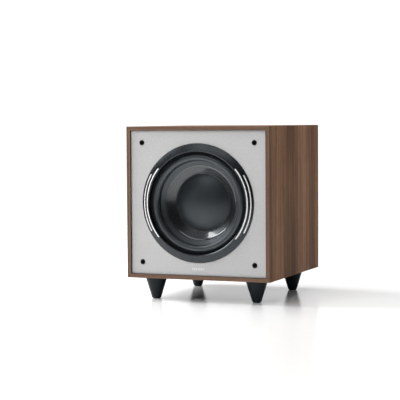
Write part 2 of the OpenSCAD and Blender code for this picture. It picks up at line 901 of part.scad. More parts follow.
module switch_bodies() {
    color("#3a3a3e") on_rear()
        for (p = [phase_spot, standby_spot])
            translate([p.x, p.y, 0]) difference() {
                block(switch_l, switch_w, board_z, -plate_t);
                block(cavity_l, cavity_w, cavity_floor, -plate_t + over);
            }
}

// Lever of a slide switch: a block inside the body and a stem through the plate
module slide_lever(spot, shift) {
    color("#101113") on_rear() translate([spot.x + shift, spot.y, 0]) {
        block(lever_base_l, cavity_w - 2 * slide_gap, cavity_floor + slide_gap, -plate_t - slide_gap);
        block(stem_l, stem_w, -plate_t - over, stem_top);
    }
}

module phase_lever() {
    slide_lever(phase_spot, -switch_travel / 2);
}

module standby_lever() {
    slide_lever(standby_spot, 0);
}

module rocker_housing() {
    color(BLACK) on_rear() translate([rocker_spot.x, rocker_spot.y, 0]) difference() {
        union() {
            block(15.4, 21.4, 0, 1.6);
            block(13, 19, -16, 0.5);
        }
        block(rocker_w + 0.4, rocker_room, -13, 2 + over);
        translate([-6.6, 0, rocker_pin_z]) rotate([0, 90, 0]) cylinder(r = rocker_pin_r + run_gap, h = 13.2);
    }
}

// Rocker with a shallow V face, resting with its upper half pressed in
module power_rocker() {
    color("#141416") on_rear() translate([rocker_spot.x, rocker_spot.y, rocker_pin_z])
        rotate([-rocker_tilt, 0, 0]) {
            translate([-rocker_w / 2, 0, 0]) rotate([90, 0, 90]) linear_extrude(rocker_w) polygon([
                [-rocker_half, 5.4], [0, 3.6], [rocker_half, 5.4],
                [rocker_half - 1.2, 0], [0, -2.2], [-rocker_half + 1.2, 0]
            ]);
            translate([-6.4, 0, 0]) rotate([0, 90, 0]) cylinder(r = rocker_pin_r, h = 12.8);
        }
}

// Recess outline with two cut corners
function recess_outline(w, h, cut) = [
    [-w / 2, -h / 2], [w / 2, -h / 2], [w / 2, h / 2 - cut], [w / 2 - cut, h / 2],
    [-w / 2 + cut, h / 2], [-w / 2, h / 2 - cut]
];

module mains_inlet() {
    color(BLACK) on_rear() translate([inlet_spot.x, inlet_spot.y, 0]) difference() {
        union() {
            translate([0, 0, inlet_flange]) rounded_slab(2 * inlet_ear + 10, 30, inlet_flange, 4);
            block(inlet_w, inlet_h, -inlet_depth, 0.5);
        }
        translate([0, recess_y, recess_floor]) linear_extrude(inlet_depth)
            polygon(recess_outline(recess_w, recess_h, 5));
        translate([0, drawer_y, 0])
            block(drawer_w + 2 * slide_gap, drawer_h + 2 * slide_gap, -drawer_depth - 1, inlet_flange + over);
        for (p = pin_spots)
            translate([p.x, p.y, 0]) block(pin_w + 0.1, pin_h + 0.1, -inlet_depth - over, 0);
        for (x = [-inlet_ear, inlet_ear])
            translate([x, 0, -over]) cylinder(r = 1.7, h = inlet_flange + 2 * over);
    }
}

module inlet_pins() {
    color(STEEL) on_rear() translate([inlet_spot.x, inlet_spot.y, 0])
        for (p = pin_spots) translate([p.x, p.y, 0]) block(pin_w, pin_h, -inlet_depth - 4, -2);
}

module fuse_drawer() {
    color("#1b1c1f") on_rear() translate([inlet_spot.x, inlet_spot.y + drawer_y, 0]) difference() {
        union() {
            block(drawer_w, drawer_h, -drawer_depth, inlet_flange + 0.5);
            block(drawer_w + 1.6, drawer_h + 1.4, inlet_flange + slide_gap, inlet_flange + 1.6);
        }
        block(fuse_len + 0.6, 2 * drawer_h, fuse_z - fuse_r - loose_gap, fuse_z + fuse_r + loose_gap);
    }
}

module fuse() {
    color("lightblue") on_rear() translate([inlet_spot.x - fuse_len / 2, inlet_spot.y + drawer_y, fuse_z])
        rotate([0, 90, 0]) cylinder(r = fuse_r, h = fuse_len);
}

module line_jacks() {
    color(BRASS) on_rear()
        for (p = jack_spots)
            translate([p.x, p.y, 0]) difference() {
                union() {
                    block(13, 13, board_z, -plate_t);
                    translate([0, 0, -plate_t - over]) cylinder(r = jack_neck_r, h = plate_t + over);
                    cylinder(r = 6, h = 1);
                    cylinder(r = jack_r, h = jack_len + 1);
                }
                translate([0, 0, -jack_len / 2]) cylinder(r = jack_bore_r, h = 2 * jack_len);
            }
}

module status_led() {
    color("#3060c0") on_rear() translate([led_spot.x, led_spot.y, 0]) {
        translate([0, 0, board_z]) cylinder(r = led_r, h = -board_z + 0.3);
        translate([0, 0, 0.3]) sphere(r = led_r);
    }
}

left_side();
right_side();
top_panel();
bottom_panel();
front_baffle();
rear_panel();
window_brace();
damping_wadding();
grille_sockets();
front_left_foot();
front_right_foot();
rear_left_foot();
rear_right_foot();
foot_pads();
foot_studs();
tee_nuts();
trim_ring();
accent_arcs();
basket();
basket_gasket();
driver_screws();
surround();
cone();
dust_cap();
coil_former();
voice_coil();
spider();
top_plate();
magnet();
pole_yoke();
terminal_strip();
tinsel_leads();
speaker_wires();
port_tube();
amp_plate();
amp_gasket();
amp_screws();
heatsink();
amp_cover();
main_board();
filter_capacitors();
transformer();
control_board();
potentiometers();
volume_shaft();
volume_knob();
crossover_shaft();
crossover_knob();
switch_bodies();
phase_lever();
standby_lever();
rocker_housing();
power_rocker();
mains_inlet();
inlet_pins();
fuse_drawer();
fuse();
line_jacks();
status_led();
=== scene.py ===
"""Looks of a wooden cube subwoofer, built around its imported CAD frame.

Places come from the frame. Shapes of revolution are drawn in millimetres as (radius, height)
profiles: in front, height 0 is the silver panel's face and counts towards the room; at the back,
height 0 is the amplifier plate's outer face and counts away from the cabinet.
"""

import math

import bmesh
import bpy
from mathutils import Matrix, Vector, noise


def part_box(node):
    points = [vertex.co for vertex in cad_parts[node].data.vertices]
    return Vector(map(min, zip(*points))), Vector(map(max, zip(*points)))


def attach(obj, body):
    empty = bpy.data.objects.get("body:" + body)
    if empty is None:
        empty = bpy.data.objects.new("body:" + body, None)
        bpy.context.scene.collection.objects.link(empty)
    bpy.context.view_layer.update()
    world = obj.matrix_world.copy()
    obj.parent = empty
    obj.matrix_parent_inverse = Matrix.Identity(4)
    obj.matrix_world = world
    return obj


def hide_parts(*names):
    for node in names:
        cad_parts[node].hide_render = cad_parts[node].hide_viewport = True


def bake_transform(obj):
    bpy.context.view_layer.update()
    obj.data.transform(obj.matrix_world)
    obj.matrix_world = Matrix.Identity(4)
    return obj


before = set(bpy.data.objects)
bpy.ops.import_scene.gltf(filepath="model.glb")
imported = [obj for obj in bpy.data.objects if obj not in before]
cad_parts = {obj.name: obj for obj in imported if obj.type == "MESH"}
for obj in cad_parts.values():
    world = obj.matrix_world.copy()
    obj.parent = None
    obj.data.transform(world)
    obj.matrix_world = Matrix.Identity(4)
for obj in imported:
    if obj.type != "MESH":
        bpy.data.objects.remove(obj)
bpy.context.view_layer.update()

MM = 0.001
TURN = 2 * math.pi
# Tint of the gloss on the black plastics, rubbers and lacquer
COOL = (0.84, 0.93, 1.0, 1.0)


# ---- Places, from the frame ----

def middle(node):
    low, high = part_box(node)
    return (low + high) / 2


def half_width(node):
    """Half of a node's width along X, in millimetres."""
    low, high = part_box(node)
    return (high.x - low.x) / 2 / MM


face_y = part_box("front_baffle")[0].y
panel_mid = middle("front_baffle")
plate_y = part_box("amp_plate")[1].y
cabinet_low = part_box("left_side")[0].z


def in_front(x, y, z):
    """A point given in millimetres in the driver's frame."""
    return Vector((panel_mid.x + x * MM, face_y - z * MM, panel_mid.z + y * MM))


def behind(x, y, z):
    """A point given in millimetres in the amplifier plate's frame, as seen from behind."""
    return Vector((panel_mid.x - x * MM, plate_y + z * MM, panel_mid.z + y * MM))


def upright(x, y):
    """A frame that stands on the floor at a place given in metres."""
    return lambda px, py, pz: Vector((x + px * MM, y + py * MM, pz * MM))


def moved(place, x, y):
    """The same frame with its middle moved by millimetres."""
    return lambda px, py, pz: place(px + x, py + y, pz)


# ---- Meshes ----

def new_mesh(name, points, faces):
    mesh = bpy.data.meshes.new(name)
    mesh.from_pydata([tuple(p) for p in points], [], faces)
    return mesh


def joined(parts):
    """The points and faces of several meshes as one."""
    points, faces = [], []
    for new_points, new_faces in parts:
        faces += [tuple(i + len(points) for i in face) for face in new_faces]
        points += new_points
    return points, faces


def add_piece(name, points, faces, material, body, slot, replaces=(), sharp=40):
    """A closed mesh piece that rides on a body and takes the given material; the slot is not
    used.
    """
    mesh = new_mesh(name, points, faces)
    return finish_piece(name, mesh, material, body, replaces, sharp)


def finish_piece(name, mesh, material, body, replaces=(), sharp=40):
    """Shades a mesh smooth up to an angle in degrees and adds it as a piece.

    body is None for a piece that this script attaches to no body.
    """
    work = bmesh.new()
    work.from_mesh(mesh)
    bmesh.ops.recalc_face_normals(work, faces=work.faces)
    for face in work.faces:
        face.smooth = True
    for edge in work.edges:
        edge.smooth = edge.calc_face_angle(0) < math.radians(sharp)
    work.to_mesh(mesh)
    work.free()
    mesh.materials.clear()
    mesh.materials.append(material)
    piece = bpy.data.objects.new(name, mesh)
    bpy.context.scene.collection.objects.link(piece)
    if body:
        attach(piece, body)
    if replaces:
        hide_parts(*replaces)
    return piece


# A radius in millimetres below which a profile's point lies on the axis
ON_AXIS = 1e-6
# The most of an edge that the rounding of one corner may take
CUT_SHARE = 0.45


def arc(x, y, r, start, end, steps=8):
    """Points on a circle between two angles in degrees."""
    angles = [math.radians(start + (end - start) * i / steps) for i in range(steps + 1)]
    return [(x + r * math.cos(a), y + r * math.sin(a)) for a in angles]


def rounded(profile, radius, steps=4):
    """A closed outline with every corner cut by a short curve; points on the axis stay."""
    out = []
    for i, point in enumerate(profile):
        here = Vector(point)
        before, after = Vector(profile[i - 1]), Vector(profile[(i + 1) % len(profile)])
        if here.x < ON_AXIS:
            out.append(point)
            continue
        cut = min(radius, CUT_SHARE * (before - here).length, CUT_SHARE * (after - here).length)
        start = here + (before - here).normalized() * cut
        end = here + (after - here).normalized() * cut
        for k in range(steps + 1):
            t = k / steps
            curve = start * (1 - t) ** 2 + here * 2 * t * (1 - t) + end * t ** 2
            out.append((curve.x, curve.y))
    return out


def lathe_mesh(profile, place, steps, span=TURN, start=0.0):
    """Points and faces of a closed (radius, height) outline turned about the frame's axis."""
    whole = span > TURN - 1e-6
    rows = steps if whole else steps + 1
    points, faces = [], []
    for i in range(rows):
        a = start + span * i / steps
        points += [place(r * math.cos(a), r * math.sin(a), h) for r, h in profile]
    count = len(profile)
    for i in range(steps):
        here, there = i * count, ((i + 1) % rows) * count
        for k in range(count):
            n = (k + 1) % count
            if profile[k][0] < ON_AXIS and profile[n][0] < ON_AXIS:
                continue
            faces.append((here + k, here + n, there + n, there + k))
    if not whole:
        faces.append(tuple(range(count)))
        faces.append(tuple(range((rows - 1) * count, rows * count)))
    return points, faces


def lathe(name, profile, place, material, body, replaces=(), steps=160, sharp=40):
    """One piece, or several in one mesh, turned from a closed profile. place may be a list."""
    places = place if isinstance(place, list) else [place]
    mesh = new_mesh(name, *joined(lathe_mesh(profile, each, steps) for each in places))
    work = bmesh.new()
    work.from_mesh(mesh)
    bmesh.ops.remove_doubles(work, verts=work.verts, dist=1e-7)
    bmesh.ops.dissolve_degenerate(work, edges=work.edges, dist=1e-7)
    work.to_mesh(mesh)
    work.free()
    return finish_piece(name, mesh, material, body, replaces, sharp)


def refined(node, width, material, body, segments=2):
    """A copy of a CAD node with its flat faces joined up and its edges rounded by width in mm."""
    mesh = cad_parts[node].data.copy()
    work = bmesh.new()
    work.from_mesh(mesh)
    bmesh.ops.remove_doubles(work, verts=work.verts, dist=2e-6)
    bmesh.ops.dissolve_limit(
        work, angle_limit=math.radians(0.5), verts=work.verts, edges=work.edges)
    corners = [e for e in work.edges if e.calc_face_angle(0) > math.radians(30)]
    bmesh.ops.bevel(work, geom=corners, offset=width * MM, segments=segments, profile=0.5,
                    affect="EDGES", clamp_overlap=True)
    new = bpy.data.meshes.new(node + "_shell")
    work.to_mesh(new)
    work.free()
    piece = finish_piece(new.name, new, material, body, [node], sharp=34)
    piece.modifiers.new("flat_faces", "WEIGHTED_NORMAL").keep_sharp = True
    return piece


BOX_FACES = [(0, 1, 3, 2), (4, 6, 7, 5), (0, 4, 5, 1), (2, 3, 7, 6), (0, 2, 6, 4), (1, 5, 7, 3)]


def block(place, x, y, z, width, height, depth):
    """Points and faces of one block that stands on z, in millimetres in a frame."""
    points = [place(px, py, pz) for px in (x - width / 2, x + width / 2)
              for py in (y - height / 2, y + height / 2) for pz in (z, z + depth)]
    return points, BOX_FACES


def blocks(name, boxes, place, material, body, bevel=0.0):
    """Small blocks in one mesh. Each is (x, y, z, width, height, depth) in a frame, in mm."""
    mesh = new_mesh(name, *joined(block(place, *box) for box in boxes))
    if bevel:
        work = bmesh.new()
        work.from_mesh(mesh)
        bmesh.ops.bevel(work, geom=list(work.edges), offset=bevel * MM, segments=2,
                        profile=0.5, affect="EDGES", clamp_overlap=True)
        work.to_mesh(mesh)
        work.free()
    return finish_piece(name, mesh, material, body)


# ---- Materials ----

def grey(level):
    """The linear colour of a grey whose 8-bit screen level is well above black."""
    return (((level / 255 + 0.055) / 1.055) ** 2.4,) * 3


class Finish:
    """A material with one Principled surface, and short ways to add nodes to it."""

    def __init__(self, name, color, roughness, **sockets):
        self.material = bpy.data.materials.new(name)
        self.material.use_nodes = True
        self.tree = self.material.node_tree
        self.surface = self.tree.nodes["Principled BSDF"]
        self.put(self.surface, "Base Color", color)
        self.put(self.surface, "Roughness", roughness)
        for socket, value in sockets.items():
            self.put(self.surface, socket.replace("_", " "), value)
        self.place = self.add("ShaderNodeTexCoord").outputs["Object"]

    def put(self, node, socket, value):
        target = node.inputs[socket]
        if isinstance(value, bpy.types.NodeSocket):
            self.tree.links.new(value, target)
        elif isinstance(value, tuple) and len(value) == 3 and target.type == "RGBA":
            target.default_value = (*value, 1)
        else:
            target.default_value = value

    def add(self, kind, inputs=None, **settings):
        node = self.tree.nodes.new(kind)
        for key, value in settings.items():
            setattr(node, key, value)
        for socket, value in (inputs or {}).items():
            self.put(node, socket, value)
        return node

    def stretched(self, scale, shift=(0, 0, 0)):
        """Object coordinates in metres times a scale for each axis."""
        node = self.add("ShaderNodeMapping", {
            "Vector": self.place, "Scale": scale, "Location": shift})
        return node.outputs["Vector"]

    def noise(self, scale, detail=3, rough=0.5, shift=(0, 0, 0), distortion=0.0):
        scale = scale if isinstance(scale, tuple) else (scale,) * 3
        node = self.add("ShaderNodeTexNoise", {
            "Vector": self.stretched(scale, shift), "Scale": 1.0, "Detail": detail,
            "Roughness": rough, "Distortion": distortion})
        return node.outputs["Fac"]

    def cells(self, scale, feature="F1"):
        node = self.add("ShaderNodeTexVoronoi", {
            "Vector": self.stretched((scale,) * 3), "Scale": 1.0}, feature=feature)
        return node.outputs["Distance"]

    def bands(self, axis, period, phase=0.0, distortion=0.0):
        """Soft stripes along an axis, with their period in metres."""
        # A wave texture of scale 1 repeats every TURN / 20
        node = self.add("ShaderNodeTexWave", {
            "Vector": self.place, "Scale": TURN / 20 / period, "Phase Offset": phase,
            "Distortion": distortion, "Detail": 2.0, "Detail Scale": 0.4}, bands_direction=axis)
        return node.outputs["Fac"]

    def between(self, value, low, high, to_low=0.0, to_high=1.0):
        """value moved from the range low..high to to_low..to_high, and held there."""
        node = self.add("ShaderNodeMapRange", {
            "Value": value, "From Min": low, "From Max": high,
            "To Min": to_low, "To Max": to_high}, interpolation_type="SMOOTHSTEP")
        return node.outputs["Result"]

    def math(self, operation, a, b=0.0):
        node = self.add("ShaderNodeMath", operation=operation)
        self.put(node, 0, a)
        self.put(node, 1, b)
        return node.outputs[0]

    def ramp(self, value, *stops):
        """Colours along a value. Each stop is (position, colour)."""
        node = self.add("ShaderNodeValToRGB", {"Fac": value})
        elements = node.color_ramp.elements
        while len(elements) < len(stops):
            elements.new(0.5)
        for element, (position, color) in zip(elements, stops):
            element.position = position
            element.color = (*color, 1)
        return node.outputs["Color"]

    def mixed(self, factor, a, b):
        """Colour a where factor is 0 and colour b where it is 1."""
        node = self.add("ShaderNodeMix", data_type="RGBA")
        for index, value in ((0, factor), (6, a), (7, b)):
            target = node.inputs[index]
            if isinstance(value, bpy.types.NodeSocket):
                self.tree.links.new(value, target)
            else:
                target.default_value = (*value, 1) if isinstance(value, tuple) else value
        return node.outputs[2]

    def bump(self, height, depth_mm, strength=1.0, under=None):
        node = self.add("ShaderNodeBump", {
            "Height": height, "Distance": depth_mm * MM, "Strength": strength})
        if under is not None:
            self.put(node, "Normal", under)
        return node.outputs["Normal"]

    def edges(self):
        """1 on the rounded edges of a boxy piece, where the normal leaves the three axes."""
        normal = self.add("ShaderNodeNewGeometry").outputs["Normal"]
        flat = self.add("ShaderNodeVectorMath", operation="ABSOLUTE")
        self.put(flat, 0, normal)
        parts = self.add("ShaderNodeSeparateXYZ", {"Vector": flat.outputs[0]})
        largest = self.math("MAXIMUM", self.math("MAXIMUM", parts.outputs[0], parts.outputs[1]),
                            parts.outputs[2])
        return self.between(self.math("SUBTRACT", 1.0, largest), 0.03, 0.25)

    def color(self, value):
        self.put(self.surface, "Base Color", value)

    def rough(self, value):
        self.put(self.surface, "Roughness", value)

    def normal(self, value):
        self.put(self.surface, "Normal", value)


def walnut(name, along, painted_below=False):
    """Satin walnut veneer whose grain runs along one axis. The underside may be painted black."""
    def grain(across, lengthwise):
        """Noise scales that draw the pattern out along the grain."""
        return tuple(lengthwise if axis == along else across for axis in "XYZ")

    fibre_shade, dash_shade = (0.08, 0.042, 0.025), (0.075, 0.042, 0.027)
    vein_shade, pore_shade = (0.080, 0.046, 0.031), (0.035, 0.02, 0.014)
    worn_edge, front_edge = (0.3, 0.21, 0.155), (0.172, 0.124, 0.098)
    black_paint = (0.012, 0.012, 0.013)
    f = Finish(name, (0.1, 0.06, 0.04), 0.55, Specular_IOR_Level=0.08)
    broad = f.bands("Y", 0.143, 1.62, distortion=1.3)
    streaks = f.noise(grain(95, 2.2), detail=5, rough=0.62, distortion=0.3)
    fine = f.noise(grain(420, 7), detail=4, rough=0.6)
    fibres = f.noise(grain(1500, 26), detail=2, rough=0.5)
    dashes = f.noise(grain(560, 34), detail=3, rough=0.6, shift=(1, 5, 2))
    veins = f.noise(grain(190, 3.5), detail=2, rough=0.5, shift=(4, 2, 6), distortion=0.2)
    pores = f.between(f.noise(grain(1100, 42), detail=2, rough=0.55, shift=(3, 7, 1)), 0.6, 0.7)
    tone = f.math("ADD", f.math("MULTIPLY", broad, 0.26), f.math("MULTIPLY", streaks, 0.56))
    tone = f.math("ADD", tone, f.math("MULTIPLY", fine, 0.56))
    towards_back = f.add("ShaderNodeSeparateXYZ", {"Vector": f.place}).outputs["Y"]
    tone = f.math("ADD", tone, f.between(towards_back, -0.16, 0.16, -0.07, 0.03))
    wood = f.ramp(tone, (0.47, (0.096, 0.052, 0.032)), (0.60, (0.192, 0.103, 0.060)),
                  (0.74, (0.300, 0.161, 0.094)), (0.95, (0.420, 0.236, 0.143)))
    wood = f.mixed(f.between(fibres, 0.35, 0.75, 0.0, 0.22), wood, fibre_shade)
    wood = f.mixed(f.between(dashes, 0.46, 0.68, 0.0, 0.36), wood, dash_shade)
    wood = f.mixed(f.between(veins, 0.5, 0.68, 0.0, 0.45), wood, vein_shade)
    wood = f.mixed(f.math("MULTIPLY", pores, 0.55), wood, pore_shade)
    wood = f.mixed(f.math("MULTIPLY", f.edges(), 0.3), wood, worn_edge)
    normal = f.add("ShaderNodeNewGeometry").outputs["Normal"]
    facing = f.add("ShaderNodeSeparateXYZ", {"Vector": normal}).outputs
    wood = f.mixed(f.between(facing["Y"], -0.98, -0.9, 0.34, 0.0), wood, front_edge)
    if painted_below:
        wood = f.mixed(f.between(facing["Z"], -0.98, -0.9, 1.0, 0.0), wood, black_paint)
    f.color(wood)
    f.rough(f.between(f.noise(grain(60, 6), detail=3), 0.3, 0.7, 0.5, 0.62))
    lines = f.bump(f.math("SUBTRACT", fibres, f.math("MULTIPLY", pores, 1.6)), 0.05, 0.5)
    f.normal(f.bump(fine, 0.04, 0.35, under=lines))
    return f.material


def silver_paint():
    """Fine-grained silver paint on the front panel."""
    f = Finish("silver_paint", grey(185), 0.5, Metallic=0.15, Specular_IOR_Level=0.35)
    grain = f.noise(2300, detail=2, rough=0.7)
    mottle = f.noise(330, detail=3, rough=0.8)
    cloud = f.noise(9, detail=3, rough=0.55)
    base = f.ramp(grain, (0.25, grey(168)), (0.5, grey(187)), (0.78, grey(203)))
    base = f.mixed(f.between(mottle, 0.35, 0.65, 0.0, 0.8), base, grey(174))
    f.color(f.mixed(f.between(cloud, 0.3, 0.7, 0.0, 0.25), base, grey(179)))
    f.rough(f.between(grain, 0.3, 0.7, 0.42, 0.56))
    peel = f.bump(f.noise(650, detail=2), 0.03, 0.4)
    f.normal(f.bump(grain, 0.02, 0.5, under=peel))
    return f.material


def moulded(name, color, roughness, texture=1500, depth=0.03, spec=0.5, wear=0.12, **more):
    """Moulded plastic with a fine eroded texture and a little handling shine."""
    f = Finish(name, color, roughness, Specular_IOR_Level=spec, **more)
    grit = f.noise(texture, detail=3, rough=0.6)
    cloud = f.noise(22, detail=4, rough=0.6)
    lighter = tuple(min(1, c * 1.6 + 0.002) for c in color)
    darker = tuple(c * 0.78 for c in color)
    f.color(f.mixed(f.between(grit, 0.3, 0.75, 0.0, 0.5), darker, lighter))
    handled = f.math("ADD", f.math("MULTIPLY", cloud, 0.75), f.math("MULTIPLY", grit, 0.25))
    f.rough(f.between(handled, 0.35, 0.68, roughness - wear / 2, roughness + wear / 2))
    f.normal(f.bump(grit, depth, 0.6))
    return f.material


def soft_rubber(name, color, roughness, spec=0.45):
    """Butyl rubber with a faint bloom and a fine moulding texture."""
    f = Finish(name, color, roughness, Specular_IOR_Level=spec, Specular_Tint=COOL,
               Sheen_Weight=0.06, Sheen_Roughness=0.4)
    bloom = f.noise(30, detail=5, rough=0.6)
    grit = f.noise(1900, detail=2, rough=0.5)
    lighter = tuple(c * 1.8 + 0.002 for c in color)
    f.color(f.mixed(f.between(bloom, 0.35, 0.75, 0.0, 0.45), color, lighter))
    f.rough(f.between(bloom, 0.3, 0.7, roughness - 0.05, roughness + 0.09))
    f.normal(f.bump(grit, 0.015, 0.5))
    return f.material


def lacquered_cone():
    """Glossy black fibre cone: short fibres under a clear lacquer."""
    f = Finish("lacquered_cone", (0.006, 0.0062, 0.0068), 0.3, Specular_IOR_Level=0.6,
               Specular_Tint=COOL, Coat_Weight=0.75, Coat_Roughness=0.1, Coat_IOR=1.6)
    fibres = f.noise((620, 620, 900), detail=4, rough=0.65, distortion=0.8)
    grain = f.noise(2600, detail=2)
    f.color(f.ramp(fibres, (0.35, (0.0016, 0.002, 0.0023)), (0.7, (0.0056, 0.0062, 0.007))))
    f.rough(f.between(fibres, 0.3, 0.7, 0.22, 0.4))
    f.normal(f.bump(grain, 0.012, 0.5, under=f.bump(fibres, 0.03, 0.35)))
    return f.material


def metal(name, color, roughness, brush=(300, 300, 20), depth=0.008):
    """Bare or plated metal with fine working lines along its least-scaled axis."""
    f = Finish(name, color, roughness, Metallic=1.0)
    lines = f.noise(brush, detail=4, rough=0.65)
    spots = f.noise(70, detail=5, rough=0.6)
    dull = tuple(c * 0.78 for c in color)
    f.color(f.mixed(f.between(spots, 0.4, 0.75, 0.0, 0.5), color, dull))
    f.rough(f.between(lines, 0.3, 0.7, roughness - 0.06, roughness + 0.1))
    f.normal(f.bump(lines, depth, 0.5))
    return f.material


def powder_coat(name, color, roughness, scale=900, depth=0.05):
    """Textured powder coat with rubbed edges."""
    f = Finish(name, color, roughness, Specular_IOR_Level=0.45)
    lumps = f.cells(scale, "SMOOTH_F1")
    dust = f.noise(14, detail=5, rough=0.6)
    lighter = tuple(c * 1.6 + 0.01 for c in color)
    base = f.mixed(f.between(dust, 0.45, 0.8, 0.0, 0.35), color, lighter)
    f.color(f.mixed(f.math("MULTIPLY", f.edges(), 0.25), base, tuple(c + 0.08 for c in color)))
    f.rough(f.between(dust, 0.3, 0.7, roughness - 0.06, roughness + 0.08))
    f.normal(f.bump(lumps, depth, 0.5))
    return f.material


def fibreboard():
    """Raw fibreboard: pressed wood fibres with darker flecks."""
    f = Finish("fibreboard", (0.36, 0.25, 0.15), 0.85, Specular_IOR_Level=0.2)
    fibres = f.noise((700, 700, 260), detail=5, rough=0.7, distortion=1.0)
    flecks = f.between(f.noise(420, detail=2), 0.66, 0.72)
    base = f.ramp(fibres, (0.3, (0.25, 0.165, 0.095)), (0.7, (0.46, 0.33, 0.205)))
    f.color(f.mixed(f.math("MULTIPLY", flecks, 0.6), base, (0.12, 0.07, 0.04)))
    f.normal(f.bump(fibres, 0.12, 0.6))
    return f.material


def woven(name, color, thread_mm):
    """Plain woven cloth: two sets of crossing threads."""
    f = Finish(name, color, 0.8, Specular_IOR_Level=0.25, Sheen_Weight=0.2)
    over = f.bands("X", 2 * thread_mm * MM)
    under = f.bands("Z", 2 * thread_mm * MM)
    weave = f.math("MAXIMUM", over, under)
    shade = f.noise(45, detail=4)
    dark = tuple(c * 0.5 for c in color)
    f.color(f.mixed(f.between(f.math("MULTIPLY", weave, shade), 0.15, 0.6), dark, color))
    f.normal(f.bump(weave, 0.1, 0.6))
    return f.material


def wadding_fluff():
    """Loose white polyester wadding."""
    f = Finish("wadding_fluff", (0.78, 0.78, 0.75), 0.95, Sheen_Weight=0.5,
               Subsurface_Weight=0.15, Subsurface_Scale=0.004)
    hairs = f.noise((240, 500, 240), detail=6, rough=0.75, distortion=2.0)
    f.color(f.ramp(hairs, (0.3, (0.56, 0.56, 0.53)), (0.65, (0.86, 0.86, 0.83))))
    f.normal(f.bump(hairs, 1.2, 0.8))
    return f.material


def circuit_board():
    """Green solder mask with lighter tracks and tinned pads."""
    f = Finish("circuit_board", (0.02, 0.11, 0.045), 0.3, Coat_Weight=0.4)
    tracks = f.between(f.cells(160, "DISTANCE_TO_EDGE"), 0.03, 0.06, 1.0, 0.0)
    pads = f.between(f.cells(240), 0.12, 0.16, 1.0, 0.0)
    base = f.mixed(f.math("MULTIPLY", tracks, 0.7), (0.012, 0.085, 0.033), (0.04, 0.2, 0.08))
    f.color(f.mixed(f.math("MULTIPLY", pads, 0.8), base, (0.55, 0.55, 0.52)))
    f.normal(f.bump(f.math("ADD", tracks, pads), 0.04, 0.6))
    return f.material


def wound_tape():
    """Yellow polyester tape wound round a toroid."""
    f = Finish("wound_tape", (0.6, 0.4, 0.1), 0.3, Coat_Weight=0.3)
    wraps = f.bands("Z", 0.006, distortion=0.6)
    f.color(f.ramp(wraps, (0.0, (0.4, 0.25, 0.06)), (0.25, (0.68, 0.47, 0.13))))
    f.normal(f.bump(wraps, 0.15, 0.5))
    return f.material


def glass_tube():
    """Clear glass of the fuse with its faint wire inside."""
    f = Finish("glass_tube", (0.85, 0.9, 0.9), 0.05, Transmission_Weight=0.7, IOR=1.45)
    caps = f.between(f.noise((300, 20, 20), detail=1), 0.4, 0.6)
    f.color(f.ramp(caps, (0.0, (0.75, 0.8, 0.8)), (1.0, (0.92, 0.95, 0.95))))
    return f.material


def glowing(name, color, strength):
    """Tinted lens with a soft light behind it."""
    f = Finish(name, color, 0.2, Coat_Weight=0.5, Emission_Strength=strength)
    f.put(f.surface, "Emission Color", color)
    core = f.noise(900, detail=1)
    f.color(f.ramp(core, (0.2, tuple(c * 0.7 for c in color)), (0.8, color)))
    return f.material


WOOD_UP = walnut("walnut_upright", "Z")
WOOD_ACROSS = walnut("walnut_across", "X")
WOOD_BELOW = walnut("walnut_bottom", "X", painted_below=True)
PAINT = silver_paint()
TRIM = moulded("trim_plastic", (0.0040, 0.0050, 0.0058), 0.27, texture=1500, depth=0.008,
               spec=0.55, Specular_Tint=COOL)
ACCENT = moulded("accent_inlay", (0.86, 0.87, 0.865), 0.28, texture=900, depth=0.006, spec=0.5)
FOOT = moulded("foot_plastic", (0.0030, 0.0052, 0.0070), 0.40, texture=1700, depth=0.02,
               spec=0.26, Specular_Tint=COOL)
PAD = soft_rubber("pad_rubber", (0.012, 0.012, 0.012), 0.7)
SOCKET = soft_rubber("socket_rubber", (0.0035, 0.004, 0.0045), 0.5, spec=0.3)
RUBBER = soft_rubber("surround_rubber", (0.0070, 0.0080, 0.0090), 0.42, spec=1.0)
# Near-black matte rubber: the surround's rim, and the painted shadow strips in the recess
GASKET_AND_SHADE = soft_rubber("rim_gasket_and_painted_shade", (0.0032, 0.0036, 0.004), 0.7, spec=0.15)
CONE = lacquered_cone()
CAP = moulded("cap_matte", (0.0092, 0.0112, 0.0128), 0.43, texture=2100, depth=0.012,
              spec=0.66, Specular_Tint=COOL)
PORT = moulded("port_plastic", (0.016, 0.0165, 0.018), 0.5, texture=1300)
REAR = powder_coat("rear_paint", (0.022, 0.022, 0.0235), 0.62, scale=1300, depth=0.03)
COAT = powder_coat("amp_coat", (0.018, 0.0185, 0.02), 0.5)
ANODISED = metal("anodised", (0.05, 0.052, 0.056), 0.38, brush=(900, 900, 14))
ZINC = metal("zinc", (0.55, 0.56, 0.58), 0.32)
STEEL = metal("turned_steel", (0.5, 0.5, 0.51), 0.28, brush=(260, 30, 260))
GALVANISED = metal("galvanised", (0.48, 0.49, 0.5), 0.4, brush=(40, 40, 40), depth=0.02)
GOLD = metal("gold_plate", (0.83, 0.6, 0.24), 0.2, brush=(200, 900, 200), depth=0.003)
NICKEL = metal("nickel", (0.62, 0.61, 0.58), 0.18)
BASKET = powder_coat("basket_coat", (0.02, 0.02, 0.021), 0.45, scale=700)
FERRITE = moulded("ferrite", (0.035, 0.035, 0.038), 0.7, texture=500, depth=0.08)
COPPER = metal("copper", (0.62, 0.26, 0.12), 0.3, brush=(60, 1600, 60), depth=0.02)
PAPER = moulded("former_paper", (0.32, 0.2, 0.1), 0.75, texture=800, depth=0.03)
SPIDER = woven("spider_cloth", (0.5, 0.35, 0.13), 0.5)
FOAM = moulded("foam", (0.018, 0.018, 0.018), 0.9, texture=700, depth=0.15)
BOARD = fibreboard()
WADDING = wadding_fluff()
CIRCUIT = circuit_board()
TAPE = wound_tape()
SLEEVE = moulded("capacitor_sleeve", (0.015, 0.025, 0.11), 0.25, texture=300, depth=0.01)
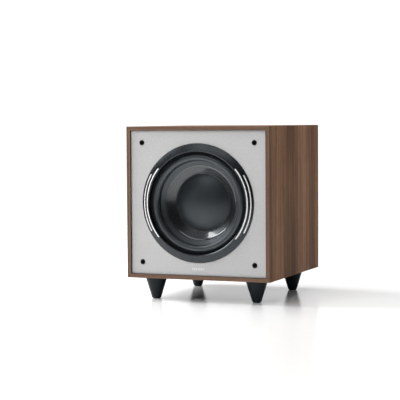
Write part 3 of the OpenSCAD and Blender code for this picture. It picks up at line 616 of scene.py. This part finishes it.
KNOB = moulded("knob_plastic", (0.014, 0.0145, 0.016), 0.4, texture=1500, depth=0.02)
GLOSS = moulded("rocker_gloss", (0.008, 0.008, 0.009), 0.14, texture=400, depth=0.003, wear=0.06)
BLACK = moulded("inlet_plastic", (0.012, 0.0122, 0.0135), 0.38)
WIRE = moulded("wire_red", (0.32, 0.018, 0.014), 0.35, texture=500, depth=0.02)
WHITE_INK = moulded("white_ink", (0.82, 0.83, 0.83), 0.45, texture=1800, depth=0.004)
RED_PLASTIC = moulded("jack_red", (0.45, 0.015, 0.012), 0.35)
WHITE_PLASTIC = moulded("jack_white", (0.72, 0.72, 0.7), 0.35)
GLASS = glass_tube()
LENS = glowing("led_lens", (0.05, 0.22, 0.9), 1.2)


# ---- Cabinet ----

def make_cabinet():
    for node, wood in (("left_side", WOOD_UP), ("right_side", WOOD_UP),
                       ("top_panel", WOOD_ACROSS), ("bottom_panel", WOOD_BELOW)):
        refined(node, 0.45, wood, "cabinet", segments=3)
    refined("front_baffle", 0.3, PAINT, "cabinet")
    refined("rear_panel", 0.4, REAR, "cabinet")
    refined("window_brace", 0.4, BOARD, "cabinet")


def make_shadow_line():
    """Painted shadow: thin near-black strips along the recess walls, standing in for the shade
    where the board edges stand in front of the panel.
    """
    overlap, height, thick = 0.22, 3.4, 0.4
    reach = half_width("front_baffle") - overlap
    long, across = 2 * reach + thick, 2 * reach - thick
    strips = [(x * reach, 0, 0, thick, long, height) for x in (-1, 1)]
    strips += [(0, y * reach, 0, across, thick, height) for y in (-1, 1)]
    # Near-black strips that paint the shade on the recess walls
    blocks("painted_recess_shadow", strips, in_front, GASKET_AND_SHADE, "cabinet")


def make_sockets():
    """Rubber cups for a grille's pegs, with a lip a little wider than the CAD one."""
    lip, flange, bore, body, cad_flange = 0.6, 5.25, 3.1, 4.0, 4.9
    back, bore_end = -12, -9.4
    profile = rounded([
        (0, back), (body, back), (body, 0), (flange, 0), (flange, lip), (bore, lip),
        (bore, bore_end), (0, bore_end)
    ], 0.3)
    off = half_width("grille_sockets") - cad_flange
    places = [moved(in_front, x * off, y * off) for x in (-1, 1) for y in (-1, 1)]
    lathe("socket_cups", profile, places, SOCKET, "cabinet", ["grille_sockets"],
          steps=48)


def make_mark():
    """A plain row of upright strokes, printed in white under the driver."""
    stroke_w, stroke_h, pitch, count, y, ink_t = 1.5, 4.4, 3.6, 7, -129, 0.06
    strokes = [((i - (count - 1) / 2) * pitch, y, 0, stroke_w, stroke_h, ink_t)
               for i in range(count)]
    blocks("printed_mark", strokes, in_front, WHITE_INK, "cabinet")


def make_feet():
    narrow = 9.0
    for node in ("front_left_foot", "front_right_foot", "rear_left_foot", "rear_right_foot"):
        low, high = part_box(node)
        top, bottom = high.z / MM, low.z / MM
        profile = rounded([
            (0, bottom), (narrow, bottom), (half_width(node), top), (0, top)
        ], 0.9)
        at = middle(node)
        lathe(node + "_cone", profile, upright(at.x, at.y), FOOT, "cabinet",
              [node], steps=96)


# ---- Driver ----

# The trim ring: outer and inner radius, the radius and height of its crest, the thickness of
# its outer edge, and the slope of its face
RING_R = half_width("trim_ring")
RING_HOLE = 101.0
CREST_R = RING_HOLE + 1.9
RING_TOP = 6.6
EDGE_T = 1.25
SLOPE = 0.39


def ring_face(r):
    """Height of the trim ring's sloping face."""
    return EDGE_T + (RING_R - 0.3 - r) * SLOPE


def make_trim_ring():
    """A hollow ring whose face climbs to a crest, with a polished bevel down to the hole."""
    seat_r, seat_z, back, wall = 112.5, 0.02, -2, 1.5
    profile = [(seat_r, seat_z), (RING_R, seat_z), (RING_R, EDGE_T - 0.5)]
    profile += arc(RING_R - 0.6, EDGE_T - 0.42, 0.6, 0, 68, 6)
    round_r, bevel = 0.5, 35
    drop = (CREST_R - RING_HOLE - round_r) * math.tan(math.radians(bevel))
    lean = math.degrees(math.atan(SLOPE))
    profile += arc(CREST_R, RING_TOP - round_r, round_r, 90 - lean, 90 + bevel, 5)
    profile += arc(RING_HOLE + round_r, RING_TOP - round_r - drop, round_r, 90 + bevel, 180, 6)
    profile += [(RING_HOLE, back), (RING_HOLE + wall, back), (RING_HOLE + wall, 4.6),
                (seat_r, 1.0)]
    lathe("trim_ring_shell", profile, in_front, TRIM, "cabinet", ["trim_ring"],
          steps=256, sharp=50)


def make_accents():
    """Two inlaid lines on each side of the ring: radius, width and half their angle."""
    rim, sunk, edge, proud = 0.25, -0.4, 0.02, 0.14
    lines = []
    for r, width, half in ((111.75, 2.1, 30), (105.1, 2.4, 40)):
        low, high = r - width / 2, r + width / 2
        outline = [(at, ring_face(at) + height) for at, height in (
            (low, sunk), (low, edge), (low + rim, proud), (high - rim, proud), (high, edge),
            (high, sunk))]
        lines += [lathe_mesh(outline, in_front, 72, span=math.radians(2 * half),
                             start=math.radians(side - half)) for side in (0, 180)]
    add_piece("accent_lines", *joined(lines), ACCENT, "cabinet", "accent_white", ["accent_arcs"],
              sharp=30)


# Radius and height of the roll's centre, and the radius of its section
ROLL_R, ROLL_Z, ROLL_SECTION = 89.5, -4.4, 6.9
# Outer edge of the surround's inner flange
LAND_R, LAND_Z = 83.0, -10.7
# Outer edge of the bare cone, and the slope of its face
CONE_R, CONE_Z = 74.0, -15.6
CONE_SLOPE = 0.76
# The dust cap's radius, and its height above the cone where they meet
CAP_R, CAP_RISE = 56.0, 15.5
# The cone's inner edge
NECK_R = 25.5


def cone_face(r):
    """Height of the cone's front at a radius."""
    return CONE_Z - (CONE_R - r) * CONE_SLOPE


def make_surround():
    """The half roll, with its foot and ridged inner flange, and the rim it sits on."""
    skin = 0.9
    outer = arc(ROLL_R, ROLL_Z, ROLL_SECTION, 30, 180, 40)
    inner = arc(ROLL_R, ROLL_Z, ROLL_SECTION - skin, 180, 24, 40)
    foot = [(82.62, -7.5), (82.75, -9.0), (82.4, -10.0), (81.8, -10.5)]
    ridges, steps, ridge_h = 3, 24, 0.22
    flange_r, flange_z, flange_w, flange_slope = 81.2, -10.8, 5.8, 0.62
    for i in range(steps + 1):
        inwards = flange_w * i / steps
        swell = ridge_h / 2 * (1 - math.cos(TURN * ridges * i / steps))
        foot.append((flange_r - inwards, flange_z - inwards * flange_slope + swell))
    foot += [(74.7, -14.75), (74.35, -15.1), (74.2, -15.4), (74.3, -15.7), (79, -13.6),
             (83.2, -11.6), (83.65, -10.2), (83.5, -7.5)]
    # The rim under the ring is the surround's glued edge; its near-black matte rubber also paints
    # the shade in the gap between the ring and the roll
    rim = [(95.0, -1.97), (100.8, -1.97), (100.8, -1.1), (95.6, -1.1)]
    lathe("surround_rim", rim, in_front, GASKET_AND_SHADE, "cabinet", steps=256)
    piece = lathe("roll_surround", outer + foot + inner, in_front, RUBBER, None,
                  ["surround"], steps=256, sharp=60)
    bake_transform(piece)


def make_cone():
    """The cone, with a shallow step under the surround and a bead where the cap is glued."""
    lip_r, lip_slope, thick, lip_thick = LAND_R - 1, 0.433, 1.26, 0.9
    lip_z = CONE_Z - 0.3 + (lip_r - CONE_R) * lip_slope
    front = [(lip_r, lip_z), (CONE_R + 0.2, CONE_Z - 0.25)]
    front += [(r, cone_face(r)) for r in (73.6, 70, 66, 62, 58, 54, 48, 42, 36, 30, NECK_R)]
    back = [(r, z - thick) for r, z in reversed(front[1:])] + [(lip_r, lip_z - lip_thick)]
    lathe("cone_shell", front + back, in_front, CONE, "cone_assembly", ["cone"],
          steps=256, sharp=50)
    r = CAP_R + 0.6
    z = cone_face(r)
    bead = [(r - 0.6, z - 0.4), (r + 1.5, z + 1.0), (r + 1.0, z + 1.35), (r + 0.3, z + 1.2),
            (r - 0.3, z + 0.7)]
    lathe("glue_bead", bead, in_front, CONE, "cone_assembly", steps=256, sharp=80)


def make_dust_cap():
    """A thin dome with a narrow skirt that stands on the cone."""
    rim_r, skirt_r, skin, glue = CAP_R + 0.3, CAP_R - 1.1, 0.9, 0.05
    top = cone_face(CAP_R) + CAP_RISE
    rise = top - cone_face(rim_r) - 0.5
    dome = (rim_r ** 2 + rise ** 2) / (2 * rise)
    edge = math.degrees(math.acos(rim_r / dome))
    outer = arc(0, top - dome, dome, edge, 90, 48)
    inner = arc(0, top - dome, dome - skin, 90, edge - 0.4, 48)
    outer[-1] = (0, outer[-1][1])
    inner[0] = (0, inner[0][1])
    profile = outer + inner + [(r, cone_face(r) + glue) for r in (skirt_r, rim_r)]
    lathe("dust_cap_dome", profile, in_front, CAP, "cone_assembly", ["dust_cap"],
          steps=256, sharp=60)


def make_spider():
    """The corrugated disc, cut into twelve sectors."""
    sectors, folds, steps = 12, 4, 48
    in_r, out_r, rim_r, fold_h, cloth = 29.0, 54.0, 69.0, 1.4, 0.6
    base = (face_y - middle("spider").y) / MM
    wave = [(in_r + (out_r - in_r) * i / steps,
             base + fold_h * math.sin(TURN * folds * i / steps)) for i in range(steps + 1)]
    outline = [(NECK_R, base)] + wave + [(rim_r, base)]
    profile = outline + [(r, z + cloth) for r, z in reversed(outline)]
    span = TURN / sectors
    for i in range(sectors):
        start = i * span
        piece = add_piece(f"spider_sector_{i + 1}",
                          *lathe_mesh(profile, in_front, 12, span=span, start=start), SPIDER,
                          None, "spider_cloth", ["spider"], sharp=60)
        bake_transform(piece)


def tube(name, route, radius, material, body, slot, replaces):
    """A round wire along points, with its side vector across the cabinet."""
    points, faces = [], []
    side, sides = Vector((1, 0, 0)), 12
    for i, here in enumerate(route):
        along = (route[min(i + 1, len(route) - 1)] - route[max(i - 1, 0)]).normalized()
        u = along.cross(side).normalized()
        v = along.cross(u)
        for k in range(sides):
            a = TURN * k / sides
            points.append(here + (u * math.cos(a) + v * math.sin(a)) * radius)
    for i in range(len(route) - 1):
        for k in range(sides):
            n = (k + 1) % sides
            faces.append((i * sides + k, i * sides + n, (i + 1) * sides + n, (i + 1) * sides + k))
    faces.append(tuple(range(sides)))
    faces.append(tuple(range((len(route) - 1) * sides, len(route) * sides)))
    return add_piece(name, points, faces, material, body, slot, replaces)


def bezier(a, b, c, d, steps):
    """Points on a cubic curve from a to d, drawn towards b and c."""
    out = []
    for i in range(steps + 1):
        t = i / steps
        s = 1 - t
        out.append(a * s ** 3 + b * 3 * s * s * t + c * 3 * s * t * t + d * t ** 3)
    return out


def make_wires():
    """Two braided leads from the terminals to the cone, and two wires from the amplifier."""
    lead_r, wire_r = 0.8 * MM, 1.3 * MM
    low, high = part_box("speaker_wires")
    z = high.z - wire_r
    for name, x in (("left", -1), ("right", 1)):
        route = bezier(in_front(7 * x, -76.5, -64.3), in_front(7 * x, -76.5, -50),
                       in_front(6 * x, -52, -54), in_front(5 * x, -39, -44.4), 40)
        lead = tube("tinsel_" + name, route, lead_r, COPPER, None, "copper", ["tinsel_leads"])
        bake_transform(lead)
        back_x, front_x = 3 * MM * x, 7 * MM * x
        route = bezier(Vector((back_x, high.y, z)), Vector((back_x, high.y - 0.05, z - 0.01)),
                       Vector((front_x, low.y + 0.05, z - 0.006)), Vector((front_x, low.y, z)),
                       60)
        tube("wire_" + name, route, wire_r, WIRE, "cabinet", "wire_insulation",
             ["speaker_wires"])


def make_wadding():
    """Three loose mats: blocks with soft lumps, inside the space that their CAD solids hold."""
    work = bmesh.new()
    work.from_mesh(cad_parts["damping_wadding"].data)
    bmesh.ops.remove_doubles(work, verts=work.verts, dist=1e-6)
    corners = [v.co.copy() for v in work.verts]
    work.free()
    side_x = 0.109
    groups = {
        "wadding_left": [c for c in corners if c.x < -side_x],
        "wadding_right": [c for c in corners if c.x > side_x],
        "wadding_top": [c for c in corners if abs(c.x) < side_x],
    }
    for name, group in groups.items():
        low = Vector([min(c[i] for c in group) for i in range(3)])
        high = Vector([max(c[i] for c in group) for i in range(3)])
        mat = bmesh.new()
        bmesh.ops.create_cube(mat, size=1)
        bmesh.ops.subdivide_edges(mat, edges=mat.edges, cuts=22, use_grid_fill=True)
        size, centre = high - low, (high + low) / 2
        for v in mat.verts:
            sphere = v.co.normalized() * 0.5
            soft = v.co.lerp(sphere, 0.07)
            lump = noise.fractal((v.co * 6 + centre * 40), 0.8, 2.0, 4) * 0.018
            v.co = Vector([soft[i] * size[i] * (0.94 + lump) + centre[i] for i in range(3)])
        mesh = bpy.data.meshes.new(name)
        mat.to_mesh(mesh)
        mat.free()
        piece = finish_piece(name, mesh, WADDING, "cabinet", ["damping_wadding"], 180)


# ---- Port and back ----

def make_port():
    """A tube that flares into a flange under the bottom board."""
    at = middle("port_tube")
    start, top = cabinet_low / MM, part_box("port_tube")[1].z / MM
    r, wall, flare, flange, rim_round, seat_r = 30.0, 3.5, 8.0, 3.0, 1.4, 41.2
    rim_r = half_width("port_tube") - rim_round
    profile = [(r + wall, start), (seat_r, start)]
    profile += arc(rim_r, start - flange + rim_round, rim_round, 0, -90, 6)
    profile += arc(r + flare, start + flare - flange, flare, 270, 180, 16)
    profile += [(r, top - 3), (r + 1.5, top), (r + wall, top)]
    lathe("port_shell", profile, upright(at.x, at.y), PORT, "cabinet",
          ["port_tube"], steps=128)


def make_back():
    refined("amp_plate", 0.35, COAT, "cabinet")
    refined("heatsink", 0.3, ANODISED, "cabinet")
    refined("rocker_housing", 0.25, BLACK, "cabinet")
    refined("mains_inlet", 0.25, BLACK, "cabinet")
    refined("fuse_drawer", 0.2, BLACK, "fuse_carrier")
    refined("power_rocker", 0.25, GLOSS, "rocker")
    refined("phase_lever", 0.2, GLOSS, "phase_slider")
    refined("standby_lever", 0.2, GLOSS, "standby_slider")


def spot_of(node):
    """Middle of a node in the plate's frame, in millimetres."""
    at = middle(node)
    return (panel_mid.x - at.x) / MM, (at.z - panel_mid.z) / MM


# Width and thickness of the printed lines on the amplifier plate
INK_W, INK_T = 0.5, 0.05


def scale_mark(x, y, start, end, angle):
    """Points and faces of one printed mark that points away from a knob's middle."""
    out = Vector((math.cos(angle), math.sin(angle)))
    side = Vector((-out.y, out.x)) * INK_W / 2
    corners = [out * start - side, out * start + side, out * end + side, out * end - side]
    points = [behind(x + p.x, y + p.y, z) for z in (0.0, INK_T) for p in corners]
    return points, [(0, 1, 2, 3), (4, 5, 6, 7), (0, 1, 5, 4), (1, 2, 6, 5), (2, 3, 7, 6),
                    (3, 0, 4, 7)]


def make_controls():
    """Pointers on the knobs and printed scales round them, with every fifth mark longer."""
    scale_r, long_mark, short_mark, marks, first, step = 12.2, 2.6, 1.7, 11, 240, 30
    for node, body in (("volume_knob", "volume_control"),
                       ("crossover_knob", "crossover_control")):
        x, y = spot_of(node)
        top = (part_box(node)[1].y - plate_y) / MM
        blocks(node + "_pointer", [(x, y + 5.6, top - 0.5, 1.1, 6.2, 0.42)], behind, WHITE_INK,
               body)
        scale = joined(
            scale_mark(x, y, scale_r, scale_r + (short_mark if i % 5 else long_mark),
                       math.radians(first - step * i)) for i in range(marks))
        add_piece(node + "_scale", *scale, WHITE_INK, "cabinet", "accent_white")


def make_printed_lines():
    """Plain lines that frame the groups of controls on the plate."""
    title_y, jacks_y, beside, tick_w = 106.5, 33, 7, 1.6
    lines = [(-41, title_y, 62), (41, title_y, 62), (-51, jacks_y, 46)]
    for node, to_slot_middle in (("phase_lever", 2.5), ("standby_lever", 0)):
        x, y = spot_of(node)
        lines += [(x + to_slot_middle + side * beside, y, tick_w) for side in (-1, 1)]
    blocks("printed_lines", [(x, y, 0, width, INK_W, INK_T) for x, y, width in lines], behind,
           WHITE_INK, "cabinet")


def make_jacks():
    """Gold barrels with coloured insulators."""
    low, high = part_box("line_jacks")
    body_w, body_d, body_z = 13, 9.4, -12.4
    y = (middle("line_jacks").z - panel_mid.z) / MM
    xs = [(panel_mid.x - high.x) / MM + body_w / 2, (panel_mid.x - low.x) / MM - body_w / 2]
    bore, barrel, nut, in_r = 1.7, 4.15, 6, 3.45
    end, seat = 10, 8.6
    outline = rounded([
        (bore, -4.5), (4.5, -4.5), (4.5, 0.02), (nut, 0.02), (nut, 1), (barrel, 1),
        (barrel, end), (in_r, end), (in_r, seat), (bore, seat)
    ], 0.15, 2)
    lathe("jack_barrels", outline, [moved(behind, x, y) for x in xs], GOLD, "cabinet",
          ["line_jacks"], steps=48)
    ring = rounded([(bore, seat), (in_r, seat), (in_r, 9.8), (bore, 9.8)], 0.1, 2)
    for name, x, plastic in (("jack_insulator_red", xs[0], RED_PLASTIC),
                             ("jack_insulator_white", xs[1], WHITE_PLASTIC)):
        lathe(name, ring, moved(behind, x, y), plastic, "cabinet", steps=48)
    blocks("jack_bodies", [(x, y, body_z, body_w, body_w, body_d) for x in xs], behind, BLACK,
           "cabinet", bevel=0.3)


# The finishes of the CAD nodes that keep their shape
CAD_FINISHES = {
    "foot_pads": PAD, "foot_studs": ZINC, "tee_nuts": ZINC,
    "basket": BASKET, "basket_gasket": FOAM, "driver_screws": ZINC, "terminal_strip": GOLD,
    "coil_former": PAPER, "voice_coil": COPPER,
    "top_plate": ZINC, "magnet": FERRITE, "pole_yoke": ZINC,
    "amp_gasket": FOAM, "amp_screws": ZINC, "amp_cover": GALVANISED, "main_board": CIRCUIT,
    "filter_capacitors": SLEEVE, "transformer": TAPE, "control_board": CIRCUIT,
    "potentiometers": STEEL, "volume_shaft": STEEL, "volume_knob": KNOB,
    "crossover_shaft": STEEL, "crossover_knob": KNOB, "switch_bodies": BLACK,
    "inlet_pins": NICKEL, "fuse": GLASS, "status_led": LENS,
}


def paint_cad_nodes():
    for node, material in CAD_FINISHES.items():
        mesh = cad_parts[node].data
        mesh.materials.clear()
        mesh.materials.append(material)


# ---- Studio ----

def make_camera():
    """A long lens at the right of the object, a little above it and slightly rolled."""
    azimuth, tilt, roll = 22.15, 3.31, -0.38
    right, away, height = 1.0459, 2.7078, 0.3612
    data = bpy.data.cameras.new("camera")
    data.lens = 127.77
    data.sensor_width = 36
    camera = bpy.data.objects.new("camera", data)
    turn = (Matrix.Rotation(math.radians(azimuth), 4, "Z")
            @ Matrix.Rotation(math.radians(90 - tilt), 4, "X")
            @ Matrix.Rotation(math.radians(roll), 4, "Z"))
    at = Matrix.Translation((right, middle("left_side").y - away, height))
    camera.matrix_world = at @ turn
    bpy.context.scene.collection.objects.link(camera)
    bpy.context.scene.camera = camera


def make_floor():
    """A white sheet that fades out far from the object."""
    reach, fade_from, fade_to = 5.0, 1.9, 3.0
    corners = [(x * reach, y * reach, 0) for x, y in ((-1, -1), (1, -1), (1, 1), (-1, 1))]
    mesh = new_mesh("floor", corners, [(0, 1, 2, 3)])
    f = Finish("floor", (0.94, 0.94, 0.935), 0.16, Specular_IOR_Level=0.4)
    far = f.add("ShaderNodeVectorMath", operation="LENGTH")
    f.put(far, 0, f.place)
    f.put(f.surface, "Alpha", f.between(far.outputs["Value"], fade_from, fade_to, 1.0, 0.0))
    f.color(f.ramp(f.noise(60, detail=4), (0.3, (0.93, 0.93, 0.925)), (0.7, (0.95, 0.95, 0.945))))
    mesh.materials.append(f.material)
    floor = bpy.data.objects.new("floor", mesh)
    bpy.context.scene.collection.objects.link(floor)


def area_light(name, direction, distance, size, power, mirrored=False):
    """A soft light that looks at the object's middle. A mirrored one only shows in gloss."""
    to_middle = Vector((0, 0.15, 0))
    data = bpy.data.lights.new(name, "AREA")
    data.shape = "RECTANGLE"
    data.size, data.size_y = size
    data.energy = power
    light = bpy.data.objects.new(name, data)
    light.visible_diffuse = not mirrored
    light.visible_glossy = mirrored
    way = Vector(direction).normalized()
    light.location = panel_mid + to_middle + way * distance
    light.rotation_mode = "QUATERNION"
    light.rotation_quaternion = (-way).to_track_quat("-Z", "Y")
    bpy.context.scene.collection.objects.link(light)


def make_world():
    """White to the camera and behind the object, and dark in front and at the right."""
    world = bpy.data.worlds.new("studio")
    bpy.context.scene.world = world
    world.use_nodes = True
    tree = world.node_tree
    sky = tree.nodes["Background"]
    place = tree.nodes.new("ShaderNodeTexCoord")
    ahead = tree.nodes.new("ShaderNodeVectorMath")
    ahead.operation = "DOT_PRODUCT"
    tree.links.new(place.outputs["Generated"], ahead.inputs[0])
    ahead.inputs[1].default_value = (-0.38, 0.92, 0.0)
    up = tree.nodes.new("ShaderNodeSeparateXYZ")
    tree.links.new(place.outputs["Generated"], up.inputs[0])
    brighter = tree.nodes.new("ShaderNodeMath")
    brighter.operation = "MAXIMUM"
    for index, (source, low, high, dark, bright) in enumerate((
            (ahead.outputs["Value"], 0.80, 0.97, 0.0, 1.1),
            (up.outputs["Z"], 0.8, 0.95, 0.05, 0.65))):
        level = tree.nodes.new("ShaderNodeMapRange")
        for socket, value in (("From Min", low), ("From Max", high), ("To Min", dark),
                              ("To Max", bright)):
            level.inputs[socket].default_value = value
        tree.links.new(source, level.inputs["Value"])
        tree.links.new(level.outputs["Result"], brighter.inputs[index])
    seen = tree.nodes.new("ShaderNodeMath")
    seen.operation = "MAXIMUM"
    rays = tree.nodes.new("ShaderNodeLightPath")
    tree.links.new(rays.outputs["Is Camera Ray"], seen.inputs[0])
    tree.links.new(brighter.outputs[0], seen.inputs[1])
    tree.links.new(seen.outputs[0], sky.inputs["Strength"])
    sky.inputs["Color"].default_value = (1, 1, 1, 1)


def make_lights():
    """The key and the front light each come twice: for matte surfaces and for gloss."""
    area_light("key", (-0.82, -0.03, 0.56), 3.5, (2.2, 2.2), 226)
    area_light("key_in_gloss", (-0.77, -0.17, 0.62), 3.5, (1.7, 1.8), 108, mirrored=True)
    area_light("front_fill", (-0.30, -0.75, 0.58), 3.2, (2.4, 1.2), 61)
    area_light("front_in_gloss", (-0.15, -0.75, 0.66), 3.2, (2.0, 1.1), 13, mirrored=True)
    area_light("right_fill", (0.88, 0.40, 0.26), 3.0, (1.4, 1.4), 18)
    area_light("top_fill", (-0.05, -0.15, 1.0), 2.4, (2.4, 2.4), 20)
    bpy.context.scene.view_settings.view_transform = "Standard"
    bpy.context.scene.view_settings.look = "None"


make_camera()
make_cabinet()
make_shadow_line()
make_sockets()
make_mark()
make_feet()
make_trim_ring()
make_accents()
make_surround()
make_cone()
make_dust_cap()
make_spider()
make_wires()
make_wadding()
make_port()
make_back()
make_controls()
make_printed_lines()
make_jacks()
paint_cad_nodes()
make_floor()
make_world()
make_lights()
